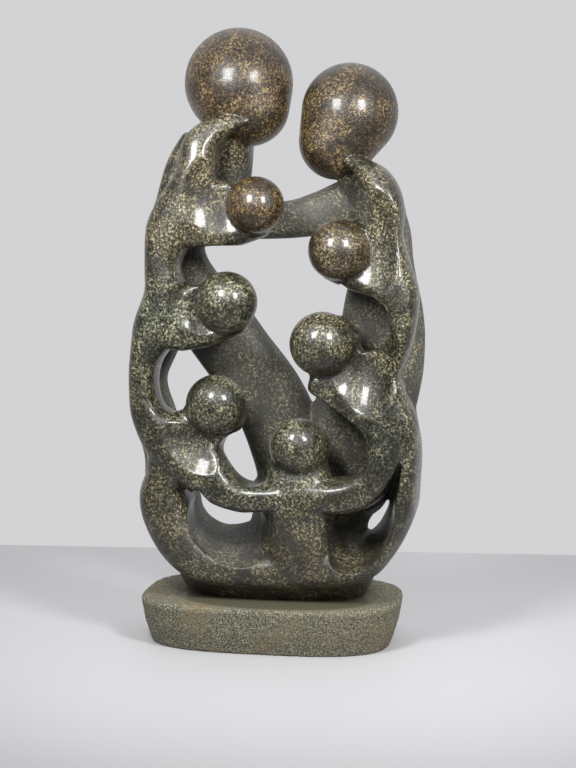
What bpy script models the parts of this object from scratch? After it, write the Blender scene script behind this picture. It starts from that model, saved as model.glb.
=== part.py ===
"""Family group carved from a single block of stone, with its plinth.

Two adults stand for the outline, six children hang in the ring of their arms. The front
ring and the bodies behind it are limbs of soft rectangular section, fused, smoothed and
thinned. Dishes are sunk beside the children's heads, bays with crisp rims are cut through
the front ring, both layers are joined, two hollows are cut through the bowl at the bottom,
then come the heads and the plinth.
Origin at the middle of the plinth's underside, X to the right, Z up, front towards -Y.
"""

import math

import bmesh
import bpy
from mathutils import Matrix, Vector

MM = 0.001

# Plinth
PLINTH_LENGTH = 0.181
PLINTH_DEPTH = 0.114
PLINTH_HEIGHT = 0.0325
PLINTH_TAPER = 0.007
PLINTH_SQUARENESS = 3.1
PLINTH_TOP_EDGE = 0.0035
PLINTH_MID_INSET = 0.35
PLINTH_EDGE_STEPS = 3
PLINTH_SIDES = 60

# Adult heads with the chin that is part of each, and the children's x, z and share of the radius
FIGURE_HEIGHT = 0.420
FATHER_HEAD_RADIUS = 0.0368
FATHER_CHIN_RADIUS = 0.0277
MOTHER_HEAD_RADIUS = 0.0326
MOTHER_CHIN_RADIUS = 0.0256
FATHER_HEAD = (-0.0229, 0.0, FIGURE_HEIGHT - FATHER_HEAD_RADIUS)
FATHER_CHIN = (-0.0153, -0.004, 0.3680)
MOTHER_HEAD = (0.0532, 0.0, 0.3630)
MOTHER_CHIN = (0.0450, -0.004, 0.3433)
CHILD_HEAD_RADIUS = 0.0195
CHILD_HEAD_DEPTH = -0.034
CHILD_HEADS = (
    (-0.0048, 0.3008, 0.97),
    (0.0508, 0.2713, 1.04),
    (-0.0247, 0.2363, 1.05),
    (0.0397, 0.2090, 1.10),
    (-0.0323, 0.1670, 1.05),
    (0.0235, 0.1401, 0.98),
)

# Layers of the carving, middle and half depth in millimetres
FRONT = (-29, 18)
BACK = (21, 18)
SIDE = (-4, 13)
DISH = (-24, 14)

# Fusing
FINE = 0.0016
SMOOTH_STEPS = 5
FRONT_SHARE = 0.0134
BACK_SHARE = 0.0100
HEAD_SHARE = 0.34
ADULT_FINENESS = 4
CHILD_FINENESS = 3
LIMB_SQUARENESS = 2.7
LIMB_SIDES = 28
LIMB_STEP = 0.003
TANGENT_REACH = 0.05
CAP_RINGS = 4
CAP_REACH = 0.5

# Limbs, each station x, z, half width, middle of depth, half depth in millimetres
FATHER_ARM = (
    (-11, 356, 3.5, -18, 12.5), (-22, 355, 6, -20, 14), (-34, 350, 9.5, -21, 18),
    (-43.5, 339, 12.5, -24, 20), (-46, 321, 13, -28, 19), (-53, 301, 18, *FRONT),
    (-64, 283, 16.5, *FRONT), (-69.5, 262, 11.5, *FRONT), (-68, 240, 14, *FRONT),
    (-75, 217, 15, *FRONT), (-82, 196, 10, *FRONT), (-83.5, 177, 9, *FRONT),
    (-79, 158, 12, *FRONT), (-62, 139, 20, *FRONT), (-43, 123, 18, *FRONT),
    (-27, 109, 13, *FRONT), (-10, 104, 11, *FRONT), (19, 105, 11, *FRONT),
)
MOTHER_ARM = (
    (52, 330, 5, -12, 12), (64, 325, 7, -17, 17), (75, 316, 10, -23, 19),
    (81, 301, 12, -28, 19), (80, 281, 13, *FRONT), (82, 260, 16, *FRONT),
    (90, 242, 14, *FRONT), (93, 228, 10, *FRONT), (90, 208, 9, *FRONT),
    (80, 190, 12, *FRONT), (76, 177, 14, *FRONT), (84, 163, 17, *FRONT),
    (86, 147, 18, *FRONT), (80, 131, 13, *FRONT), (72.5, 116, 13, *FRONT),
    (54, 107, 12.5, *FRONT), (27, 106, 12, *FRONT),
)
LEFT_LEG = (
    (-74, 140, 9, -18, 20), (-70, 120, 13, -18, 25), (-71, 100, 17.5, -16, 29),
    (-62, 77, 18, -14, 31), (-48, 61, 17, -12, 32), (-28, 54, 15, -10, 33),
    (24, 53, 15, -9, 33),
)
RIGHT_LEG = (
    (93, 157, 9, -18, 20), (95, 138, 10, -18, 24), (94, 115, 10, -17, 28),
    (91, 96, 10.5, -15, 30), (76, 73, 14, -13, 32), (57, 59, 15, -11, 33),
    (4, 53, 15, -9, 33),
)
CHILD_SLABS = (
    ((-59, 292, 19, *FRONT), (-44, 293, 22, -26, 16), (-26, 295, 23, *DISH), (-6, 299, 20.5, *DISH)),
    ((90, 250, 13, *FRONT), (77, 256, 17, -26, 16), (64, 263, 20, *DISH), (52, 270.5, 22, *DISH)),
    ((-71, 223, 19, *FRONT), (-60, 225, 23, -26, 16), (-46, 227, 23, *DISH), (-26.5, 235, 22.5, *DISH)),
    ((84, 168, 22, *FRONT), (74, 170, 27, -27, 17), (58, 175, 22, *DISH), (46, 179, 16, *DISH),
     (34, 182, 9, *DISH)),
    ((74, 186, 14, *FRONT), (57, 197, 19, *DISH), (41, 208, 23, *DISH)),
    ((-73, 143, 11, *FRONT), (-57, 143, 17, -27, 17), (-43, 151, 21, *DISH), (-33.5, 165, 22, *DISH)),
    ((23.5, 141, 20.6, *DISH), (23.5, 125, 21, -26, 16), (23.5, 110, 22, -28, 18),
     (25, 92, 22.5, -22, 25), (25, 72, 23, -20, 27), (25, 56, 22, -18, 25)),
)
FATHER_NECK = (
    (-26, 354, 14, -3, 18), (-33, 326, 17, 8, 17), (-42, 300, 19, 18, 17),
    (-52, 286, 18, *BACK),
)
FATHER_BODY = (
    (-30, 350, 13, 3, 16), (-52, 334, 15, 12, 17), (-62, 314, 17.5, 19, 18),
    (-72, 282, 20, *BACK), (-74, 245, 17, *BACK), (-86, 206, 15, *BACK),
    (-93, 178, 11.5, *BACK), (-88, 150, 14, *BACK), (-81, 125, 14.5, 20, 19),
    (-76, 98, 17, 16, 21), (-61, 69, 18, 12, 24), (-36, 56, 21, 10, 26),
    (0, 58, 23, 10, 26),
)
FATHER_THIGH = (
    (-66, 294, 19, *BACK), (-70, 269, 17, *BACK), (-63, 243, 22, *BACK),
    (-46, 220, 25, *BACK), (-29, 197, 25, *BACK), (-8, 168, 26, *BACK),
    (6, 138, 27, *BACK), (16, 110, 31, 20, 20), (12, 82, 33, 3, 34),
    (25, 54, 31, 4, 32),
)
MOTHER_BODY = (
    (54, 326, 12, 2, 18), (66, 308, 16, 13, 17), (75, 284, 17, 20, 18),
    (74, 256, 22, *BACK), (74, 222, 28.5, *BACK), (74, 190, 28.5, *BACK),
    (63, 162, 34, *BACK), (50, 134, 33, *BACK), (48, 108, 30, 20, 19),
    (43, 82, 29, 3, 34), (36, 58, 28, 10, 26),
)
MOTHER_LEG = (
    (83, 170, 13, *BACK), (90, 145, 9, *BACK), (87, 120, 12, 20, 20),
    (83, 98, 14, 16, 22), (76, 74, 13, 12, 25), (56, 57, 18, 10, 26),
)
CLASPED_ARM = (
    (-25, 290, 13, 17, 14), (9, 291, 13, 17, 14), (30, 295, 15, 17, 14),
    (51, 301, 18, 15, 15),
)
FATHER_SIDE = (
    (-54, 346, 7, *SIDE), (-62, 330, 9, *SIDE), (-66, 316, 10, *SIDE), (-70, 296, 11, *SIDE),
    (-76, 266, 9, *SIDE), (-78, 232, 9, *SIDE),
)
MOTHER_SIDE = (
    (68, 322, 7, *SIDE), (82, 302, 8, *SIDE), (86, 272, 8, *SIDE), (91, 246, 8, *SIDE),
)
FOOT_SECTIONS = (
    (24, 63, 28), (33, 63, 28), (37, 65, 32), (43, 68, 37), (50, 70, 41), (57, 69, 41),
)
FOOT_MIDDLE = (2.5, 2)
FOOT_SQUARENESS = 2.4
FOOT_SIDES = 48

# Dishes sunk beside the children's heads by rounded cutters, each its centre and reach, x, y, z in
# millimetres
DISHES = (
    ((-20, -76.5, 303), (43.5, 43.5, 56)),
    ((-14, -76.5, 318), (40, 43, 50)),
    ((62, -82, 276), (48, 48, 66)),
    ((-28, -76, 231), (45, 45, 45)),
    ((54, -77, 196), (45, 45, 45)),
    ((-37, -87, 150), (50, 50, 50)),
)
DISH_FINENESS = 3

# Bays through the front ring, each a smooth rim and the corners that close it, x and z in millimetres
BAY_FRONT = -70
BAY_BACK = 30
BAYS = (
    (((-9, 355.3), (-15.6, 352.8), (-23, 349), (-28, 343.5), (-30, 336), (-30, 325), (-27.5, 317),
      (-20.5, 312.5)), ((-8, 318), (1, 322), (20, 327), (20, 357))),
    (((52.6, 329), (57.5, 324.4), (62.5, 318.8), (68, 312), (72, 303.5), (73, 295.5), (71, 289),
      (67, 285.2)), ((65.9, 289.7), (59, 295), (49.4, 296.2), (38.2, 294.2), (33, 310.4), (42.7, 326.6))),
    (((1, 273.5), (-24, 273.8), (-38, 273.4), (-46, 271.7), (-51.5, 268.5), (-55, 263.5), (-56, 257.5),
      (-54.5, 251), (-50.5, 247), (-45, 247), (-41, 250)),
     ((-37, 254.6), (-29, 259.3), (-20.7, 261), (0, 265))),
    (((51.5, 249.3), (57, 245.3), (64, 243), (72.7, 240.3), (79.5, 237), (84, 231.3), (86, 224.5),
      (85.5, 217), (82, 210.3), (77.5, 206), (71.5, 204), (65.5, 203.7), (63, 207.4)),
     ((64.2, 216), (61, 226), (53, 232), (43, 241.4))),
    (((-22, 211.5), (-28, 209.3), (-38, 205.6), (-50, 203.7), (-58.5, 201.5), (-66, 197), (-71, 190.5),
      (-72.5, 182), (-71.5, 173), (-67.5, 166.5), (-62, 162.3), (-57, 162.2), (-54, 166)),
     ((-52.2, 174), (-46.5, 185), (-37, 190.5), (-26, 192.7), (-14, 208))),
    (((-17, 149.2), (-24, 146.2), (-29, 142), (-30.8, 136), (-28, 128), (-22, 119.7), (-14, 113.6),
      (-6, 112.5), (-0.5, 114.5), (4, 120.5), (5.2, 130), (4.8, 141)),
     ((3.4, 151.7), (0.7, 155), (-7.4, 161.5))),
    (((44.5, 146), (43.6, 136), (41.6, 128), (44.5, 121), (53, 117.8), (62.7, 119.7), (69, 126),
      (71.5, 135), (70.5, 143), (66, 152), (56.5, 160), (43, 169.3), (32.5, 176), (28.4, 180)),
     ((23.7, 175), (26.4, 164.3), (38.5, 159.2))),
)
BAY_STEPS = 3

# Hollows through the bowl, each its rim in front and its mouth at the back, x and z in millimetres
HOLLOW_DEPTHS = (-70, -45, 40, 60)
HOLLOWS = (
    (((-45, 111), (-33, 101), (-14, 95.5), (4, 96), (8.5, 84), (6.5, 67), (-10, 57), (-32, 61.5),
      (-48, 77), (-51.5, 96)),
     ((-58, 91), (-50, 93), (-38, 92), (-28, 89), (-26, 86), (-28.5, 81.5), (-34, 77), (-42, 75),
      (-52, 79), (-57.5, 85))),
    (((94.8, 134.5), (86.5, 120), (76, 106), (62, 98), (46, 96), (41.5, 89), (42.5, 74), (48, 59.5),
      (62, 56), (78, 64.5), (88, 82), (91.5, 106)),
     ((76.5, 93), (75.5, 91.5), (74, 88.5), (72, 85), (69.5, 81), (67, 77), (65, 73.5), (64.8, 72.5),
      (66.5, 73), (71, 78.5), (75, 86), (77, 91.5))),
)
HOLLOW_STEPS = 3


def clear_scene():
    """Empties the file of every object."""
    for found in list(bpy.data.objects):
        bpy.data.objects.remove(found, do_unlink=True)


def stone():
    """Polished dark green stone."""
    material = bpy.data.materials.new("serpentine_stone")
    material.use_nodes = True
    shader = material.node_tree.nodes["Principled BSDF"]
    shader.inputs["Base Color"].default_value = (0.065, 0.062, 0.040, 1.0)
    shader.inputs["Roughness"].default_value = 0.3
    return material


def add_object(name, mesh):
    """Puts a bmesh into the scene as an object."""
    bmesh.ops.recalc_face_normals(mesh, faces=mesh.faces[:])
    data = bpy.data.meshes.new(name)
    mesh.to_mesh(data)
    mesh.free()
    made = bpy.data.objects.new(name, data)
    bpy.context.scene.collection.objects.link(made)
    return made


def blend(points, at):
    """A point of the smooth curve through the stations, at a whole or part station."""
    last = len(points) - 1
    i = min(int(at), last - 1)
    t = at - i
    p1, p2 = points[i], points[i + 1]
    p0 = points[i - 1] if i > 0 else 2 * p1 - p2
    p3 = points[i + 2] if i + 2 <= last else 2 * p2 - p1
    pull = 2 * p1 + (p2 - p0) * t + (2 * p0 - 5 * p1 + 4 * p2 - p3) * t * t
    return 0.5 * (pull + (3 * p1 - p0 - 3 * p2 + p3) * t ** 3)


def soft_corner(angle, squareness):
    """Cosine and sine pushed out towards a rounded rectangle."""
    power = 2.0 / squareness
    c, s = math.cos(angle), math.sin(angle)
    return math.copysign(abs(c) ** power, c), math.copysign(abs(s) ** power, s)


def skin(mesh, rings, first, last):
    """Faces between rings of points, closed at both ends onto a point."""
    made = [[mesh.verts.new(p) for p in ring] for ring in rings]
    count = len(rings[0])
    for low, high in zip(made, made[1:]):
        for i in range(count):
            j = (i + 1) % count
            mesh.faces.new((low[i], low[j], high[j], high[i]))
    for ring, tip in ((made[0], mesh.verts.new(first)), (made[-1], mesh.verts.new(last))):
        for i in range(count):
            mesh.faces.new((ring[i], ring[(i + 1) % count], tip))


def limb(mesh, stations):
    """A tube of soft rectangular section along the stations, with domed ends."""
    middles = [Vector((x, y, z)) * MM for x, z, _, y, _ in stations]
    widths = [Vector((w, d, 0.0)) * MM for _, _, w, _, d in stations]
    length = sum((b - a).length for a, b in zip(middles, middles[1:]))
    steps = max(4, int(length / LIMB_STEP))
    last = len(stations) - 1
    path = []
    for k in range(steps + 1):
        at = last * k / steps
        after, before = min(at + TANGENT_REACH, last), max(at - TANGENT_REACH, 0.0)
        along = blend(middles, after) - blend(middles, before)
        path.append((blend(middles, at), blend(widths, at), along.normalized()))

    def ring(place, size, along, share):
        across = Vector((along.z, 0.0, -along.x)).normalized()
        points = []
        for i in range(LIMB_SIDES):
            c, s = soft_corner(math.tau * i / LIMB_SIDES, LIMB_SQUARENESS)
            deep = Vector((0.0, size.y * s * share, 0.0))
            points.append(place + across * (size.x * c * share) + deep)
        return points

    rings = []
    for end, sign in ((path[0], -1), (path[-1], 1)):
        place, size, along = end
        dome = []
        for k in range(1, CAP_RINGS + 1):
            turn = 0.5 * math.pi * k / (CAP_RINGS + 0.5)
            centre = place + along * (sign * size.x * CAP_REACH * math.sin(turn))
            dome.append(ring(centre, size, along, math.cos(turn)))
        rings.append(dome)
    body = [ring(place, size, along, 1.0) for place, size, along in path]
    tips = [end[0] + end[2] * (sign * end[1].x * CAP_REACH) for end, sign in ((path[0], -1), (path[-1], 1))]
    skin(mesh, rings[0][::-1] + body + rings[1], tips[0], tips[1])


def sections(mesh, levels, middle, squareness, sides):
    """A body of level rounded oblong sections, each height, half length, half depth."""
    rings = []
    for z, a, b in levels:
        ring = []
        for i in range(sides):
            c, s = soft_corner(math.tau * i / sides, squareness)
            ring.append(Vector((middle[0] + a * c, middle[1] + b * s, z)))
        rings.append(ring)
    first = Vector((middle[0], middle[1], levels[0][0]))
    last = Vector((middle[0], middle[1], levels[-1][0]))
    skin(mesh, rings, first, last)


def ball(mesh, centre, radius, fineness):
    """A round head."""
    place = Matrix.Translation(Vector(centre)) @ Matrix.Scale(radius, 4)
    bmesh.ops.create_icosphere(mesh, subdivisions=fineness, radius=1.0, matrix=place)


def wrap(mesh):
    """The tightest skin around everything in the bmesh."""
    skin_mesh = bmesh.new()
    for vert in mesh.verts:
        skin_mesh.verts.new(vert.co)
    mesh.free()
    bmesh.ops.convex_hull(skin_mesh, input=skin_mesh.verts[:])
    inside = [vert for vert in skin_mesh.verts if not vert.link_faces]
    bmesh.ops.delete(skin_mesh, geom=inside, context="VERTS")
    return skin_mesh


def front_ring():
    """The adults' arms and legs, the children's slabs and the foot in one object."""
    mesh = bmesh.new()
    for stations in (FATHER_ARM, MOTHER_ARM, LEFT_LEG, RIGHT_LEG, *CHILD_SLABS):
        limb(mesh, stations)
    foot = [(z * MM, a * MM, b * MM) for z, a, b in FOOT_SECTIONS]
    middle = (FOOT_MIDDLE[0] * MM, FOOT_MIDDLE[1] * MM)
    sections(mesh, foot, middle, FOOT_SQUARENESS, FOOT_SIDES)
    return add_object("family_group", mesh)


def back_bodies():
    """The adults' bodies behind the ring in one object."""
    mesh = bmesh.new()
    for stations in (FATHER_NECK, FATHER_BODY, FATHER_THIGH, FATHER_SIDE, MOTHER_BODY,
                     MOTHER_LEG, MOTHER_SIDE, CLASPED_ARM):
        limb(mesh, stations)
    return add_object("back_bodies", mesh)


def smooth_line(points, steps, closed):
    """Points of the smooth curve through flat points, at equal shares of each span."""
    flat = [Vector(p) for p in points]
    count = len(flat)
    if not closed:
        return [blend(flat, k / steps) for k in range((count - 1) * steps + 1)]
    around = flat[-2:] + flat + flat[:3]
    return [blend(around, 2 + k / steps) for k in range(count * steps)]


def prism(mesh, outlines, depths):
    """A body through like outlines of x and z in millimetres, each at its own depth."""
    rings = [[mesh.verts.new(Vector((x, y, z)) * MM) for x, z in line] for line, y in zip(outlines, depths)]
    count = len(rings[0])
    for low, high in zip(rings, rings[1:]):
        for i in range(count):
            j = (i + 1) % count
            mesh.faces.new((low[i], low[j], high[j], high[i]))
    mesh.faces.new(rings[0])
    mesh.faces.new(rings[-1])


def dishes():
    """Rounded cutters for the dishes beside the children's heads."""
    made = []
    for i, (centre, reach) in enumerate(DISHES):
        mesh = bmesh.new()
        sizes = Matrix.Diagonal((reach[0] * MM, reach[1] * MM, reach[2] * MM, 1.0))
        place = Matrix.Translation(Vector(centre) * MM) @ sizes
        bmesh.ops.create_icosphere(mesh, subdivisions=DISH_FINENESS, radius=1.0, matrix=place)
        made.append(add_object(f"dish_{i + 1}", mesh))
    return made


def bays():
    """Cutters for the bays of the front ring."""
    mesh = bmesh.new()
    for rim, corners in BAYS:
        outline = smooth_line(rim, BAY_STEPS, False) + [Vector(p) for p in corners]
        prism(mesh, (outline, outline), (BAY_FRONT, BAY_BACK))
    return add_object("bays", mesh)


def hollows():
    """Cutters for the two hollows of the bowl, which narrow towards the back."""
    mesh = bmesh.new()
    for rim, mouth in HOLLOWS:
        front = smooth_line(rim, HOLLOW_STEPS, True)
        back = smooth_line(mouth, HOLLOW_STEPS, True)
        prism(mesh, (front, front, back, back), HOLLOW_DEPTHS)
    return add_object("hollows", mesh)


def heads():
    """The adult heads with their chins, and the children's heads."""
    made = []
    for name, head, radius, chin, chin_radius in (
        ("father_head", FATHER_HEAD, FATHER_HEAD_RADIUS, FATHER_CHIN, FATHER_CHIN_RADIUS),
        ("mother_head", MOTHER_HEAD, MOTHER_HEAD_RADIUS, MOTHER_CHIN, MOTHER_CHIN_RADIUS),
    ):
        mesh = bmesh.new()
        ball(mesh, head, radius, ADULT_FINENESS)
        ball(mesh, chin, chin_radius, ADULT_FINENESS)
        head_object = add_object(name, wrap(mesh))
        thin(head_object, HEAD_SHARE)
        made.append(head_object)
    for i, (x, z, share) in enumerate(CHILD_HEADS):
        mesh = bmesh.new()
        ball(mesh, (x, CHILD_HEAD_DEPTH, z), CHILD_HEAD_RADIUS * share, CHILD_FINENESS)
        made.append(add_object(f"child_head_{i + 1}", mesh))
    return made


def plinth():
    """The rounded oblong plinth, narrower at the bottom, its top edge softened."""
    half_length, half_depth = PLINTH_LENGTH / 2, PLINTH_DEPTH / 2
    levels = [(0.0, half_length - PLINTH_TAPER, half_depth - PLINTH_TAPER)]
    side = PLINTH_HEIGHT - PLINTH_TOP_EDGE
    bulge = PLINTH_TAPER * PLINTH_MID_INSET
    levels.append((side * 0.5, half_length - bulge, half_depth - bulge))
    for k in range(PLINTH_EDGE_STEPS + 1):
        turn = 0.5 * math.pi * k / PLINTH_EDGE_STEPS
        inset = PLINTH_TOP_EDGE * (1 - math.cos(turn))
        height = side + PLINTH_TOP_EDGE * math.sin(turn)
        levels.append((height, half_length - inset, half_depth - inset))
    mesh = bmesh.new()
    sections(mesh, levels, (0.0, 0.0), PLINTH_SQUARENESS, PLINTH_SIDES)
    return add_object("plinth", mesh)


def thin(part, share):
    """Thins the faces to a share of their count."""
    fewer = part.modifiers.new("thin", "DECIMATE")
    fewer.ratio = share


def fuse(part, cell, smooth_steps, share):
    """Turns overlapping bodies into one skin, softens its creases and thins it."""
    melt = part.modifiers.new("melt", "REMESH")
    melt.mode = "VOXEL"
    melt.voxel_size = cell
    soften = part.modifiers.new("soften", "SMOOTH")
    soften.factor = 0.5
    soften.iterations = smooth_steps
    thin(part, share)


def combine(part, others, operation):
    """Joins the others to the part or cuts them from it, and keeps them out of sight."""
    for other in others:
        other.hide_render = True
        other.display_type = "WIRE"
        step = part.modifiers.new(other.name, "BOOLEAN")
        step.operation = operation
        step.solver = "EXACT"
        step.object = other


def main():
    """Builds the sculpture."""
    clear_scene()
    figure = front_ring()
    fuse(figure, FINE, SMOOTH_STEPS, FRONT_SHARE)
    back = back_bodies()
    fuse(back, FINE, SMOOTH_STEPS, BACK_SHARE)
    combine(figure, [*dishes(), bays()], "DIFFERENCE")
    combine(figure, [back], "UNION")
    combine(figure, [hollows()], "DIFFERENCE")
    combine(figure, [*heads(), plinth()], "UNION")
    figure.data.materials.append(stone())


main()
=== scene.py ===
"""Dresses the family group: one carving in polished serpentine on its pecked plinth.

The figure is cut again at carving fineness from the same limbs that the solid has, with
crisp creases round the heads, then given its hand-polished surface. The plinth gets its
pecked relief from a Geometry Nodes tree. Sizes are in metres unless a name says mm.
"""

import logging
import math
from dataclasses import dataclass, field
from enum import Enum
from typing import Any, Optional

import bmesh
import bpy
import numpy as np
from mathutils import Matrix, Vector


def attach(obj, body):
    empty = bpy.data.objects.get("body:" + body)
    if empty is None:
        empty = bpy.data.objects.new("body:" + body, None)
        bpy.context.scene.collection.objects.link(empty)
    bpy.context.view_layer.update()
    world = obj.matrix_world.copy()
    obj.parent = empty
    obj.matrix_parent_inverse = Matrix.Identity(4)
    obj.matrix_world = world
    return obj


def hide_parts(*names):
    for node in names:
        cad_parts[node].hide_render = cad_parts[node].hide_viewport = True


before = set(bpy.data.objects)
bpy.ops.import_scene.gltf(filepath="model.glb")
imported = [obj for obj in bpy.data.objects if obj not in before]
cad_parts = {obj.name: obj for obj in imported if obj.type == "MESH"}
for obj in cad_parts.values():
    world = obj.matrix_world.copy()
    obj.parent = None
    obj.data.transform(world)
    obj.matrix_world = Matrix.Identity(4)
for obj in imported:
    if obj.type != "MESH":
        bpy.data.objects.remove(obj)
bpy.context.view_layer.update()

LOG = logging.getLogger("family_group")
MM = 0.001
NODE = "family_group"
BODY = "root"
FRONT = (-29, 18)
BACK = (21, 18)
SIDE = (-4, 13)
DISH = (-24, 14)
NOISE_MIDDLE = 0.5

Pair = tuple[float, float]
Place = tuple[float, float, float]
Flat = tuple[Pair, ...]
Body = bpy.types.Object
Mesh = bmesh.types.BMesh
Tree = bpy.types.NodeTree
Socket = bpy.types.NodeSocket


class Zone(Enum):
    """Vertex attributes that tell a finish where the stone changes, and where shade is painted."""

    WARMTH = "warmth"
    POLISH = "polish"
    PALE = "pale"
    # painted shade: darker in the creases round the children's heads and on the back surfaces of
    # the neck hollows
    PAINTED_SHADE = "painted_shade"


def linear(code: str, alpha: float = 1.0) -> tuple[float, float, float, float]:
    """Turns an sRGB hex colour to linear light.

    Args:
        code: Six hex digits, with or without a leading hash.
        alpha: Opacity to append.

    Returns:
        The linear red, green, blue and alpha.
    """
    digits = code.lstrip("#")
    parts = [int(digits[i:i + 2], 16) / 255 for i in (0, 2, 4)]
    light = [c / 12.92 if c <= 0.04045 else ((c + 0.055) / 1.055) ** 2.4 for c in parts]
    return (light[0], light[1], light[2], alpha)


def add_node(tree: Tree, kind: str, inputs: Optional[dict[Any, Any]] = None,
             **settings: Any) -> bpy.types.Node:
    """Adds a node with its settings, values and links.

    Args:
        tree: Tree that takes the node.
        kind: Blender's type name of the node.
        inputs: Socket name or number to a value or to another node's output.
        **settings: Attributes set on the node itself.

    Returns:
        The new node.
    """
    node = tree.nodes.new(kind)
    for name, value in settings.items():
        setattr(node, name, value)
    for key, value in (inputs or {}).items():
        if isinstance(value, Socket):
            tree.links.new(value, node.inputs[key])
        else:
            node.inputs[key].default_value = value
    return node


def start_material(name: str) -> tuple[bpy.types.Material, Tree, Socket]:
    """Starts a material.

    Args:
        name: Name of the material.

    Returns:
        The material, its empty tree and the object coordinates.
    """
    material = bpy.data.materials.new(name)
    material.use_nodes = True
    tree = material.node_tree
    tree.nodes.clear()
    return material, tree, add_node(tree, "ShaderNodeTexCoord").outputs["Object"]


def window(low: float, high: float) -> dict[str, float]:
    """Returns the limits of the values that a map range spreads."""
    return {"From Min": low, "From Max": high}


@dataclass(frozen=True)
class Serpentine:
    """Serpentine, a soft dark green stone, ground and waxed by hand.

    The eye sees near-black green ground crowded with olive crumbs, and short pale strokes
    that curl every way, over which the wax gives soft highlights that the grain breaks.
    Names in mm are the sizes of the patterns. A window is the part of a noise's 0 to 1 that
    is spread over the full range.
    """

    name: str = "waxed_serpentine"
    ground: str = "#090a06"
    ground_warm: str = "#120c06"
    grain: str = "#454733"
    grain_warm: str = "#49371f"
    stroke: str = "#a6a88c"
    stroke_warm: str = "#8b744c"
    grey: str = "#4c4b46"
    # colour of the painted shade in the creases round the children's heads and in the neck hollows
    painted_shade: str = "#15120e"
    grain_mm: float = 1.25
    stroke_mm: float = 2.3
    stroke_share: float = 0.038
    break_mm: float = 1.8
    cloud_mm: float = 17.0
    ripple_mm: float = 9.0
    grain_window: Pair = (0.44, 0.61)
    break_window: Pair = (0.47, 0.60)
    cloud_window: Pair = (0.40, 0.58)
    cloud_least: float = 0.22
    stroke_shifts: tuple[float, ...] = (0.0, 0.37, 0.81)
    stroke_curl: float = 0.6
    ripple_depth_mm: float = 0.7
    ripple_strength: float = 0.3
    pore_depth_mm: float = 0.25
    pore_strength: float = 0.35
    refraction: float = 1.45
    roughness: float = 0.33
    roughness_dull: float = 0.60
    roughness_grain: float = 0.10
    coat: float = 0.38
    coat_roughness: float = 0.11
    coat_roughness_dull: float = 0.60

    def build(self) -> bpy.types.Material:
        """Builds the material.

        Returns:
            The finished material.
        """
        material, tree, place = start_material(self.name)
        zones = {
            zone: add_node(tree, "ShaderNodeAttribute", attribute_name=zone.value).outputs["Fac"]
            for zone in Zone
        }
        grain = self._grain(tree, place)
        colour = self._colour(tree, place, grain, zones)
        gloss = add_node(tree, "ShaderNodeMapRange", {
            "Value": zones[Zone.POLISH], "To Min": self.roughness_dull, "To Max": self.roughness,
        })
        broken = add_node(tree, "ShaderNodeMath", {
            0: grain, 1: self.roughness_grain, 2: gloss.outputs[0],
        }, operation="MULTIPLY_ADD")
        wax = add_node(tree, "ShaderNodeMath", {
            0: zones[Zone.POLISH], 1: self.coat,
        }, operation="MULTIPLY")
        sheen = add_node(tree, "ShaderNodeMapRange", {
            "Value": zones[Zone.POLISH],
            "To Min": self.coat_roughness_dull, "To Max": self.coat_roughness,
        })
        shader = add_node(tree, "ShaderNodeBsdfPrincipled", {
            "Base Color": colour, "Roughness": broken.outputs[0],
            "Normal": self._relief(tree, place, grain), "IOR": self.refraction,
            "Coat Weight": wax.outputs[0], "Coat Roughness": sheen.outputs[0],
        })
        add_node(tree, "ShaderNodeOutputMaterial", {"Surface": shader.outputs[0]})
        return material

    def _colour(self, tree: Tree, place: Socket,
                grain: Socket,
                zones: dict[Zone, Socket]) -> Socket:
        """Layers the stone's colour: ground, crumbs, greyed backs, strokes, then painted shade.

        Args:
            tree: Tree that takes the nodes.
            place: Object coordinates.
            grain: Share of olive crumbs.
            zones: Share of each zone.

        Returns:
            The colour.
        """
        pairs = (
            (self.ground, self.ground_warm), (self.grain, self.grain_warm),
            (self.stroke, self.stroke_warm),
        )
        ground, crumb, stroke = (
            add_node(tree, "ShaderNodeMix", {
                0: zones[Zone.WARMTH], 6: linear(cold), 7: linear(warm),
            }, data_type="RGBA").outputs[2]
            for cold, warm in pairs
        )
        clouds = add_node(tree, "ShaderNodeTexNoise", {
            "Vector": place, "Scale": 1 / (self.cloud_mm * MM), "Detail": 3.0, "Roughness": 0.6,
        })
        density = add_node(tree, "ShaderNodeMapRange", {
            "Value": clouds.outputs["Fac"], **window(*self.cloud_window),
            "To Min": self.cloud_least,
        })
        crumbs = add_node(tree, "ShaderNodeMath", {
            0: grain, 1: density.outputs[0],
        }, operation="MULTIPLY")
        strokes = add_node(tree, "ShaderNodeMath", {
            0: self._strokes(tree, place), 1: density.outputs[0],
        }, operation="MULTIPLY")
        colour = ground
        # the last layer is painted shade, near-black in the creases round the children's heads and
        # in the neck hollows
        for share, over in (
            (crumbs.outputs[0], crumb), (zones[Zone.PALE], linear(self.grey)),
            (strokes.outputs[0], stroke), (zones[Zone.PAINTED_SHADE], linear(self.painted_shade)),
        ):
            colour = add_node(tree, "ShaderNodeMix", {0: share, 6: colour, 7: over},
                              data_type="RGBA").outputs[2]
        return colour

    def _grain(self, tree: Tree, place: Socket) -> Socket:
        """Scatters olive crumbs, each about the grain's size.

        Args:
            tree: Tree that takes the nodes.
            place: Object coordinates.

        Returns:
            The share of crumbs.
        """
        noise = add_node(tree, "ShaderNodeTexNoise", {
            "Vector": place, "Scale": 1 / (self.grain_mm * MM), "Detail": 3.0, "Roughness": 0.7,
        })
        spread = add_node(tree, "ShaderNodeMapRange", {
            "Value": noise.outputs["Fac"], **window(*self.grain_window),
        })
        return spread.outputs[0]

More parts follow.
